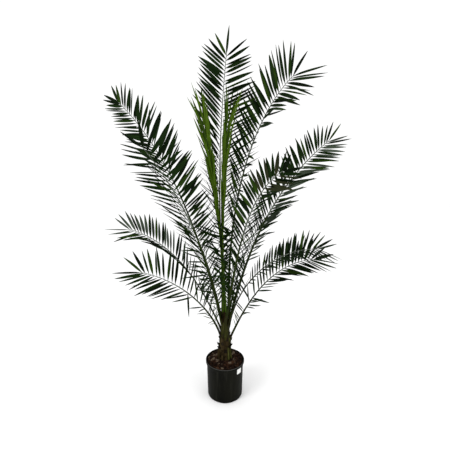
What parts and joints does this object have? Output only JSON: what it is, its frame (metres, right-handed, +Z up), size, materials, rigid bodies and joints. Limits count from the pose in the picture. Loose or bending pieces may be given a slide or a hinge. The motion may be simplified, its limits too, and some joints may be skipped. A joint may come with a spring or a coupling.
{
  "type": "potted date palm tree",
  "caption": "Young date palm tree in a plain round nursery pot: short fibrous trunk and a full crown of arching feather fronds.",
  "frame": {"origin": "middle of the pot's flat underside", "axes": "+Z up, +X to the right and +Y away from a viewer at the front"},
  "size_m": [1.5953, 1.2515, 2.343],
  "materials": {
    "pot": "charcoal black moulded plastic, satin",
    "soil": "damp dark potting mix with bark chips",
    "tag": "blank white plastic",
    "trunk": "brown fibre and old leaf bases",
    "frond": "dark green leaflets on olive stems",
    "young_frond": "bright yellow-green new leaflets"
  },
  "bodies": {
    "root": {"pot": "pot", "soil": "soil", "tag": "tag", "trunk": "trunk", "frond_01_lower": "frond", "frond_01_upper": "frond", "frond_02_lower": "frond", "frond_02_upper": "frond", "frond_03_lower": "frond", "frond_03_upper": "frond", "frond_04_lower": "frond", "frond_04_upper": "frond", "frond_05_lower": "frond", "frond_05_upper": "frond", "frond_06_lower": "frond", "frond_06_upper": "frond", "frond_07_lower": "frond", "frond_07_upper": "frond", "frond_08_lower": "frond", "frond_08_upper": "frond", "frond_09_lower": "frond", "frond_09_upper": "frond", "frond_10_lower": "frond", "frond_10_upper": "frond", "frond_11_lower": "frond", "frond_11_upper": "frond", "frond_12_lower": "frond", "frond_12_upper": "frond", "frond_13": "frond", "young_frond_01": "young_frond", "young_frond_02": "young_frond"}
  },
  "joints": []
}
